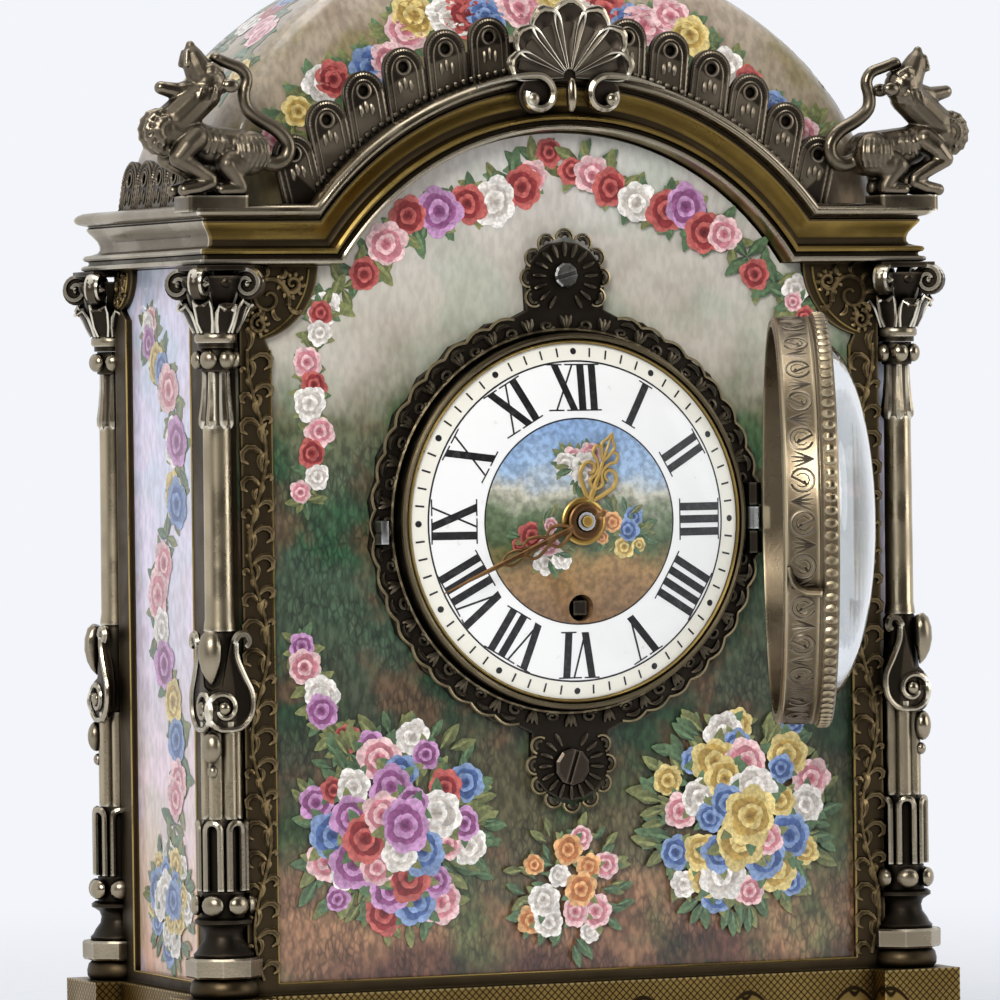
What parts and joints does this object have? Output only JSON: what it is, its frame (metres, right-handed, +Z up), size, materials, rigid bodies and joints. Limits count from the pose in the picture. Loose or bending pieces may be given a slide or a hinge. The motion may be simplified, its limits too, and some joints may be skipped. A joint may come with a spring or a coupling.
{
  "type": "table clock",
  "caption": "Architectural table clock with enamelled panels, turned columns, arched cornice and cushion dome, a hinged glazed bezel, turning hands and a key-wound movement.",
  "frame": {"origin": "middle of the flat underside, half way between the four column axes", "axes": "+Z up, the dial faces -Y, +X to the right as seen from the front"},
  "size_m": [0.1118, 0.0982, 0.1702],
  "materials": {
    "silver": "cast and chased silver, oxidised in the recesses",
    "gilt": "worn gilding",
    "dark_silver": "chased silver, heavily oxidised",
    "brass": "lacquered",
    "steel": "polished",
    "blued_steel": "blued",
    "front_enamel": "painted enamel on copper",
    "side_enamel": "painted enamel on copper",
    "dome_enamel": "painted enamel on copper",
    "dial_enamel": "white enamel with painted figures",
    "glass": "clear domed glass"
  },
  "bodies": {
    "case": {"bottom_plate": "silver", "base_moulding": "gilt", "plinth": "gilt", "case_body": "silver", "front_panel": "front_enamel", "back_panel": "front_enamel", "left_panel": "side_enamel", "right_panel": "side_enamel", "front_frame": "dark_silver", "back_frame": "dark_silver", "left_frame": "dark_silver", "right_frame": "dark_silver", "column_front_left": "silver", "column_front_right": "silver", "column_back_left": "silver", "column_back_right": "silver", "capital_front_left": "silver", "capital_front_right": "silver", "capital_back_left": "silver", "capital_back_right": "silver", "cornice_front": "gilt", "cornice_left": "silver", "cornice_right": "silver", "cornice_back": "silver", "gallery_front": "dark_silver", "gallery_left": "dark_silver", "gallery_right": "dark_silver", "gallery_back": "dark_silver", "shell_crest": "dark_silver", "top_plate": "silver", "dome": "dome_enamel", "finial": "gilt", "beast_left": "silver", "beast_right": "silver", "bezel_seat": "dark_silver", "seat_screw_top": "steel", "seat_screw_bottom": "blued_steel", "hinge_pin": "steel", "dial": "dial_enamel", "movement_front_plate": "brass", "movement_back_plate": "brass", "balance_cock": "brass"},
    "bezel_door": {"bezel_ring": "silver", "bezel_glass": "glass"},
    "centre_arbor": {"centre_wheel": "brass", "cannon_pinion": "brass", "minute_hand": "gilt"},
    "hour_pipe": {"hour_wheel": "brass", "hour_hand": "gilt"},
    "motion_arbor": {"minute_wheel": "brass"},
    "spring_barrel": {"barrel": "brass", "mainspring": "blued_steel"},
    "third_arbor": {"third_wheel": "brass"},
    "fourth_arbor": {"fourth_wheel": "brass"},
    "escape_arbor": {"escape_wheel": "brass"},
    "balance_staff": {"balance": "brass", "hairspring": "blued_steel"},
    "winding_square": {"winding_arbor": "steel"},
    "ratchet_click": {"click": "steel"}
  },
  "joints": [
    {"name": "bezel_hinge", "type": "hinge", "parent": "case", "child": "bezel_door", "pos_m": [0.0254, -0.02085, 0.0808], "axis": [0, 0, 1], "range_deg": [-67.5, 30]},
    {"name": "minute_turn", "type": "hinge", "parent": "case", "child": "centre_arbor", "pos_m": [0, 0, 0.0808], "axis": [0, 1, 0], "continuous": true},
    {"name": "hour_turn", "type": "hinge", "parent": "case", "child": "hour_pipe", "pos_m": [0, 0, 0.0808], "axis": [0, 1, 0], "continuous": true},
    {"name": "motion_turn", "type": "hinge", "parent": "case", "child": "motion_arbor", "pos_m": [-0.00658, 0, 0.0846], "axis": [0, 1, 0], "continuous": true},
    {"name": "barrel_turn", "type": "hinge", "parent": "case", "child": "spring_barrel", "pos_m": [0, 0, 0.0698], "axis": [0, 1, 0], "continuous": true},
    {"name": "third_turn", "type": "hinge", "parent": "case", "child": "third_arbor", "pos_m": [0.00604, 0, 0.088], "axis": [0, 1, 0], "continuous": true},
    {"name": "fourth_turn", "type": "hinge", "parent": "case", "child": "fourth_arbor", "pos_m": [-0.00217, 0, 0.0902], "axis": [0, 1, 0], "continuous": true},
    {"name": "escape_turn", "type": "hinge", "parent": "case", "child": "escape_arbor", "pos_m": [-0.00839, 0, 0.08584], "axis": [0, 1, 0], "continuous": true},
    {"name": "balance_swing", "type": "hinge", "parent": "case", "child": "balance_staff", "pos_m": [-0.01, 0, 0.08143], "axis": [0, 1, 0], "range_deg": [-150, 150], "stiffness_Nm_per_rad": 0.000006},
    {"name": "winding_turn", "type": "hinge", "parent": "case", "child": "winding_square", "pos_m": [0, 0, 0.0698], "axis": [0, 1, 0], "continuous": true},
    {"name": "click_rock", "type": "hinge", "parent": "case", "child": "ratchet_click", "pos_m": [0.00446, 0, 0.07493], "axis": [0, -1, 0], "range_deg": [0, 12], "stiffness_Nm_per_rad": 0.0001}
  ],
  "couplings": [
    {"joint": "hour_turn", "follows": "minute_turn", "ratio": 0.083333},
    {"joint": "motion_turn", "follows": "minute_turn", "ratio": -0.33333},
    {"joint": "barrel_turn", "follows": "minute_turn", "ratio": -0.25},
    {"joint": "third_turn", "follows": "minute_turn", "ratio": -4},
    {"joint": "fourth_turn", "follows": "minute_turn", "ratio": 16},
    {"joint": "escape_turn", "follows": "minute_turn", "ratio": -64}
  ]
}
